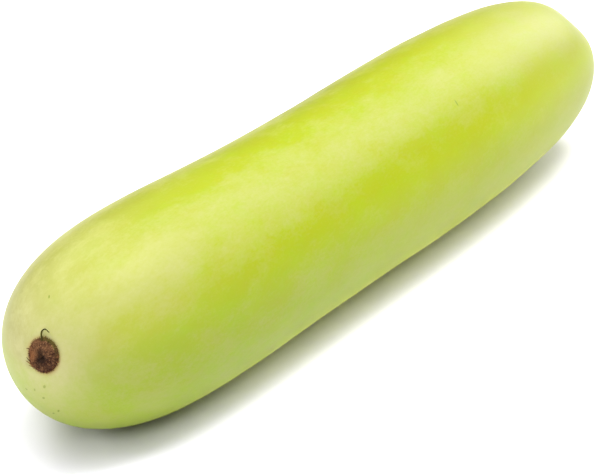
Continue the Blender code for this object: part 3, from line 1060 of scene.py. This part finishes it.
        # Painted light and shade: lighter where the fibres stand high and towards one side, as if lit from
        # there, and a little darker at the outer edge.
        shade = np.cos(angle - math.radians(125))
        high = np.clip(0.5 + uneven / (0.62 * MM) + 0.28 * shade - 0.25 * bell(share - 0.97, 0.08), 0, 1)
        rusty = 0.5 * bell(np.hypot(right + 4.4 * MM, 0.7 * (up + 0.8 * MM)), 1.3 * MM)
        olive = 0.5 * ease(share, 0.78, 0.97) * bell(np.angle(np.exp(1j * (angle - 1.0))), 0.7)
        core = 0.9 * np.exp(-((away / self.core_radius) ** 3)) - 0.55 * bell(away, self.nub_radius)
        # The edge's four rings and the two poles.
        rest = np.zeros(4 * self.plate_sides + 2)
        store(plate, high=np.append(high, rest + 0.3), rusty=np.append(rusty, rest),
              olive_rim=np.append(olive, rest), dark_core=np.append(core, rest))

    def build_fringe(self, rng: np.random.Generator) -> Object:
        """Fibres that leave the rim, lean over to one side and taper to a tip, with a few long strays.

        Args:
            rng: The seeded source of their places and sizes.

        Returns:
            The fringe.
        """
        count = self.fringe_count
        angle = 2 * math.pi * (np.arange(count) + rng.uniform(-0.4, 0.4, count)) / count
        length = rng.uniform(*self.fringe_length, count)
        lean = rng.uniform(-0.6, 0.6, count) * length / self.radius
        step = np.linspace(0, 1, self.fringe_steps)
        inner = rng.uniform(*self.fringe_root, count) * self.outline(angle)
        reach = inner[:, None] + step * (self.outline(angle) + length - inner)[:, None]
        swing = angle[:, None] + 2 * lean[:, None] * step**2
        strays = np.array(self.strays) * MM
        ways = strays[:, None, :2] + step[:, None] * (strays[:, None, 2:4] - strays[:, None, :2])
        bow = np.stack([strays[:, 3] - strays[:, 1], strays[:, 0] - strays[:, 2]], -1)[:, None] * 0.12
        ways = ways + bow * np.sin(math.pi * step)[:, None]
        right = np.concatenate([reach * np.cos(swing), ways[..., 0]])
        up = np.concatenate([reach * np.sin(swing), ways[..., 1]])
        thick = np.concatenate([rng.uniform(*self.fringe_thickness, count), strays[:, 4]])
        lift = rng.uniform(0.15, 0.5, len(thick)) * MM
        height = 0.25 * MM + lift[:, None] * np.sin(math.pi * step * 0.85) - 0.1 * MM * step
        paths = self.form.over_blossom_end(right, up, height)
        radii = thick[:, None] / 2 * (1 - 0.8 * step**1.5)
        fringe = mesh_object("scar_fringe", *tubes(paths, radii, self.fringe_sides))
        each = self.fringe_steps * self.fringe_sides
        tone = np.repeat(rng.uniform(0, 0.9, len(thick)), each)
        root = np.arctan2(up[:, 0], right[:, 0])
        green = np.repeat(0.8 * bell(np.angle(np.exp(1j * (root - 1.2))), 0.6), each)
        store(fringe, high=tone, rusty=0.3 * tone, olive_rim=green, dark_core=0 * tone)
        return fringe

    def build_hook(self) -> Object:
        """The last thread of the flower: a wiry hook, thick at its root and fine at its tip.

        Returns:
            The hook.
        """
        way = smooth_path(np.array(self.hook) * MM, self.hook_steps)
        path = self.form.over_blossom_end(way[:, 0], way[:, 1], way[:, 2])[None]
        share = np.linspace(0, 1, self.hook_steps)
        radii = self.hook_thickness / 2 * (1.15 - 0.75 * share + 0.06 * np.sin(23 * share))[None]
        return mesh_object("scar_hook", *tubes(path, radii, self.hook_sides))


@dataclass(frozen=True)
class CutStem:
    """A cut gourd stalk: ridged, downy green skin, with a drying rim and pale pith at the cut.

    Its streaks, 0.9 mm wide and four times as long, are a guess from stalks of its kind.
    """

    green: str = "66782E"
    pale_green: str = "88944C"
    dry: str = "6E5A34"
    pith: str = "ABA376"
    wood: str = "7A733F"
    roughness: float = 0.62
    streak: float = 0.9 * MM
    streak_depth: float = 0.1 * MM

    def material(self) -> Material:
        """Builds the material from the stalk's own attributes and a lengthwise noise.

        Returns:
            The material.
        """
        material, tree, shader = new_material("cut_green_stem", {"Roughness": self.roughness})
        place = add_node(tree, "TexCoord").outputs["Object"]
        share = {name: add_node(tree, "Attribute", attribute_name=name).outputs["Fac"]
                 for name in ("ridge", "drying", "cut_face", "bundle")}
        long_way = add_node(tree, "Mapping", {"Vector": place, "Scale": (0.25, 1, 1)}).outputs["Vector"]
        streaks = add_node(tree, "TexNoise", {"Vector": long_way, "Scale": 1 / self.streak,
                                              "Detail": 3.0}).outputs["Fac"]
        lit = add_node(tree, "Math", {0: streaks, 1: 0.8, 2: share["ridge"]}, operation="MULTIPLY_ADD")
        lit = add_node(tree, "MapRange", {"Value": lit.outputs[0], "From Min": 0.45,
                                          "From Max": 1.2}).outputs[0]
        colour = linear(self.green)
        for part, tint in ((lit, self.pale_green), (share["drying"], self.dry),
                           (share["cut_face"], self.pith), (share["bundle"], self.wood)):
            mixed = add_node(tree, "Mix", {SHARE: part, UNDER: colour, OVER: linear(tint)},
                             data_type="RGBA")
            colour = mixed.outputs[MIXED]
        tree.links.new(colour, shader.inputs["Base Color"])
        bump = add_node(tree, "Bump", {"Strength": 0.5, "Distance": self.streak_depth, "Height": streaks})
        tree.links.new(bump.outputs["Normal"], shader.inputs["Normal"])
        return material


@dataclass
class StemStub:
    """The cut stalk on the far end, with its ridges, its spread foot, its cut face and its down."""

    form: GourdForm
    finish: CutStem = field(default_factory=CutStem)
    length: float = 14.0 * MM
    radius: float = 5.2 * MM
    foot_radius: float = 8.4 * MM
    foot_fade: float = 2.2 * MM
    ridges: int = 5
    ridge_height: float = 0.10
    sag: float = 1.0 * MM
    cut_slant: float = 0.12
    seat_depth: float = 1.1 * MM
    pith_radius: float = 1.9 * MM
    pith_depth: float = 0.8 * MM
    bundles: int = 10
    bundle_at: float = 0.66
    rim: float = 0.6 * MM
    # Shares of the rings that make the side, and of the others that roll over the rim.
    side_share: float = 0.6
    roll_share: float = 0.12
    rings: int = 150
    sides: int = 200
    hairs: int = 420
    hair_length: tuple[float, float] = (0.5 * MM, 1.1 * MM)
    hair_thickness: float = 0.06 * MM
    hair_steps: int = 4
    hair_sides: int = 3

    def build(self) -> list[Object]:
        """Makes the stalk and its down in place of the stalk's solid.

        Returns:
            The stalk and the down.
        """
        material = self.finish.material()
        stalk = self.build_stalk()
        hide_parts("stem_stub")
        return [finish_piece(piece, material) for piece in (stalk, self.build_hairs())]

    def side_point(self, distance: np.ndarray, angle: np.ndarray, scale: np.ndarray) -> np.ndarray:
        """Points of the stalk, built up +Z: soft ridges, fine ribs, a spread foot, a sag and a slanted cut.

        Args:
            distance: Distance from the foot.
            angle: Radians round.
            scale: Share of the radius.

        Returns:
            Points, three numbers each.
        """
        up = np.maximum(distance, 0)
        spread = (self.foot_radius - self.radius) * np.exp(-up / self.foot_fade)
        fade = 1 - spread / (self.foot_radius - self.radius)
        ridge = self.ridge_height * fade * np.cos(self.ridges * angle)
        ribs = 0.012 * fade * np.cos(6 * self.ridges * angle + 1.5 * np.sin(3 * angle))
        radius = scale * (self.radius + spread) * (1 + ridge + ribs)
        share = up / self.length
        x = radius * np.cos(angle) + self.sag * share**2
        z = distance + self.cut_slant * share**3 * radius * np.cos(angle)
        return np.stack([x, radius * np.sin(angle), z], axis=-1)

    def build_stalk(self) -> Object:
        """The stalk's side, rolled over a dry rim into the cut face with its bundles and its hollow.

        Returns:
            The stalk.
        """
        shares = np.linspace(0, 1, self.rings)
        side = np.clip(shares / self.side_share, 0, 1)
        inward = np.clip((shares - self.side_share) / (1 - self.side_share), 0, 1)
        roll = np.clip(inward / self.roll_share, 0, 1) * math.pi / 2
        scale = np.where(inward > 0, 1 - self.rim / self.radius * (1 - np.cos(roll)), 1.0)
        scale = scale * (1 - np.clip((inward - self.roll_share) / (1 - self.roll_share), 0, 0.985))
        distance = side * (self.length - self.rim + self.seat_depth) - self.seat_depth
        distance = distance + self.rim * np.sin(roll)
        where, angle = np.meshgrid(distance, round_angles(self.sides), indexing="ij")
        share = np.broadcast_to(scale[:, None], where.shape)
        cut = np.broadcast_to(ease(inward, 0.02, 0.14)[:, None], where.shape)
        hollow = self.pith_depth * (1 - ease(share * self.radius / self.pith_radius, 0.6, 1.1))
        spots = bell(share - self.bundle_at, 0.09) * ease(np.cos(self.bundles * angle), 0.1, 0.8)
        rng = np.random.default_rng(SEED)
        flat = self.side_point(where, angle, share)
        crumbs = 0.05 * MM * ripples(flat / MM, 0.7, rng)
        rings = self.side_point(where + cut * (0.12 * MM * spots - hollow + crumbs), angle, share)
        points, faces = closed_loft(rings, rings[0].mean(axis=0), rings[-1].mean(axis=0))
        stalk = mesh_object("stem_stalk", points, faces)
        stalk.data.transform(self.form.stem_place())
        ridge = 0.5 + 0.5 * np.cos(self.ridges * angle)
        near_cut = ease(where, self.length - 3.0 * MM, self.length)
        drying = near_cut * (0.75 - 0.5 * cut) + 0.4 * cut * (1 - ease(share, 0.2, 0.4))
        pith = 0.9 * cut * (1 - 0.5 * (share > 0.9))
        store(stalk, ridge=with_poles(ridge), drying=with_poles(drying), cut_face=with_poles(pith),
              bundle=with_poles(0.8 * cut * spots))
        return stalk

    def build_hairs(self) -> Object:
        """Fine down on the stalk's side: short hairs that stand off the skin and bend towards the cut.

        Returns:
            The down.
        """
        rng = np.random.default_rng(SEED + 1)
        angle = rng.uniform(0, 2 * math.pi, self.hairs)
        foot = rng.uniform(0.08, 0.9, self.hairs) * self.length
        length = rng.uniform(*self.hair_length, self.hairs)
        bend = rng.uniform(0.1, 0.7, self.hairs)
        step = np.linspace(0, 1, self.hair_steps)
        root = self.side_point(foot, angle, np.array(0.985))
        out = np.stack([np.cos(angle), np.sin(angle), np.zeros(self.hairs)], -1)
        reach = length[:, None, None] * step[:, None]
        paths = root[:, None] + reach * out[:, None]
        paths[..., 2] += (length * bend)[:, None] * step**2
        radii = self.hair_thickness / 2 * (1 - 0.8 * step) * np.ones((self.hairs, 1))
        hairs = mesh_object("stem_down", *tubes(paths, radii, self.hair_sides))
        hairs.data.transform(self.form.stem_place())
        even = np.ones(len(hairs.data.vertices))
        store(hairs, ridge=even, drying=0.1 * even, cut_face=0.45 * even, bundle=0 * even)
        return hairs


@dataclass(frozen=True)
class Softbox:
    """A large soft lamp that faces the gourd.

    Attributes:
        name: Its name.
        azimuth: Degrees from +X towards +Y, seen from above.
        elevation: Degrees above the floor.
        width: Metres across, level.
        height: Metres the other way.
        radiance: How bright its face is, with white paper in full light at about 1.
        distance: Metres from the gourd's middle.
    """

    name: str
    azimuth: float
    elevation: float
    width: float
    height: float
    radiance: float
    distance: float = 3.0

    def build(self, target: Vector) -> Object:
        """Makes the lamp, with its power worked out from its radiance: pi * area * radiance.

        Args:
            target: The point that it faces.

        Returns:
            The lamp.
        """
        turn, rise = math.radians(self.azimuth), math.radians(self.elevation)
        out = Vector((math.cos(turn) * math.cos(rise), math.sin(turn) * math.cos(rise), math.sin(rise)))
        light = bpy.data.lights.new(self.name, "AREA")
        light.shape = "RECTANGLE"
        light.size, light.size_y = self.width, self.height
        light.energy = math.pi * self.width * self.height * self.radiance
        lamp = bpy.data.objects.new(self.name, light)
        lamp.location = target + out * self.distance
        lamp.rotation_euler = (-out).to_track_quat("-Z", "Y").to_euler()
        lamp.visible_camera = False
        bpy.context.scene.collection.objects.link(lamp)
        return lamp


@dataclass(frozen=True)
class WhitePaper:
    """A roll of white studio paper, uncoated: matt, even and a little cool."""

    white: str = "E9E7F1"
    roughness: float = 0.9

    def material(self) -> Material:
        """Builds the material, the same all over."""
        return new_material("white_paper", {
            "Base Color": linear(self.white), "Roughness": self.roughness, "Specular IOR Level": 0.1})[0]


@dataclass
class Studio:
    """A white table under softboxes, and the camera at the photograph's angle."""

    form: GourdForm
    # The camera from the middle of the gourd's centre line.
    camera_from_middle: tuple[float, float, float] = (-0.84706, -0.543551, 0.445764)
    # Degrees from +X, and below level, that it looks.
    camera_azimuth: float = 33.659
    camera_below: float = 25.023
    focal_mm: float = 150.45
    sensor_mm: float = 36.0
    paper: WhitePaper = field(default_factory=WhitePaper)
    surroundings: float = 0.17
    floor_size: float = 24.0
    lamps: tuple[Softbox, ...] = (
        Softbox("back_softbox", -5, 22, 1.5, 1.3, 6.5),
        Softbox("back_left_softbox", 18, 20, 0.9, 1.1, 1.6),
        Softbox("right_softbox", -45, 40, 1.0, 0.9, 4.6),
        Softbox("top_right_softbox", -30, 70, 1.5, 1.3, 14.9),
        Softbox("right_high_softbox", -70, 60, 1.3, 1.2, 1.1),
        Softbox("right_low_fill", -90, 35, 1.4, 1.2, 0.5),
        Softbox("left_high_softbox", 180, 64, 1.5, 1.4, 4.5),
        Softbox("left_low_softbox", 180, 12, 1.5, 1.2, 0.6),
        Softbox("rear_fill", 70, 45, 1.7, 1.7, 5.6),
        Softbox("rear_low_fill", 115, 18, 1.4, 1.0, 7.7),
        Softbox("overhead_fill", 0, 90, 1.4, 1.4, 6.3),
        Softbox("front_left_fill", -158, 38, 1.3, 1.0, 7.4),
    )

    def build(self) -> None:
        """Makes the floor, the lamps, the surroundings and the camera."""
        self.build_floor()
        middle = Vector((*self.form.middle, self.form.axis_height))
        for softbox in self.lamps:
            softbox.build(middle)
        self.build_surroundings()
        self.build_camera(middle)

    def build_floor(self) -> Object:
        """A wide sheet of plain white paper.

        Returns:
            The floor.
        """
        half = self.floor_size / 2
        corners = np.array([(-half, -half, 0), (half, -half, 0), (half, half, 0), (-half, half, 0)])
        floor = mesh_object("paper_floor", corners, [np.array([[0, 1, 2, 3]])])
        floor.data.materials.append(self.paper.material())
        return floor

    def build_surroundings(self) -> None:
        """An even, dim room light."""
        world = bpy.data.worlds.new("studio_room")
        world.use_nodes = True
        inputs = world.node_tree.nodes["Background"].inputs
        inputs["Color"].default_value = (1, 1, 1, 1)
        inputs["Strength"].default_value = self.surroundings
        bpy.context.scene.world = world

    def build_camera(self, middle: Vector) -> None:
        """A long lens, level across, that looks down on the gourd.

        Args:
            middle: The middle of the gourd's centre line.
        """
        turn, fall = math.radians(self.camera_azimuth), math.radians(self.camera_below)
        look = Vector((math.cos(turn) * math.cos(fall), math.sin(turn) * math.cos(fall), -math.sin(fall)))
        data = bpy.data.cameras.new("camera")
        data.lens, data.sensor_width = self.focal_mm, self.sensor_mm
        data.clip_start, data.clip_end = 0.01, 100.0
        camera = bpy.data.objects.new("camera", data)
        camera.location = middle + Vector(self.camera_from_middle)
        camera.rotation_euler = look.to_track_quat("-Z", "Y").to_euler()
        bpy.context.scene.collection.objects.link(camera)
        bpy.context.scene.camera = camera


def main() -> None:
    """Builds the gourd and its studio, in order, and reports each piece."""
    form = GourdForm()
    form.report_fit()
    Studio(form).build()
    Rind(form).build()
    BlossomScar(form).build()
    StemStub(form).build()
    bpy.context.scene.view_settings.view_transform = "Standard"


if __name__ == "__main__":
    main()
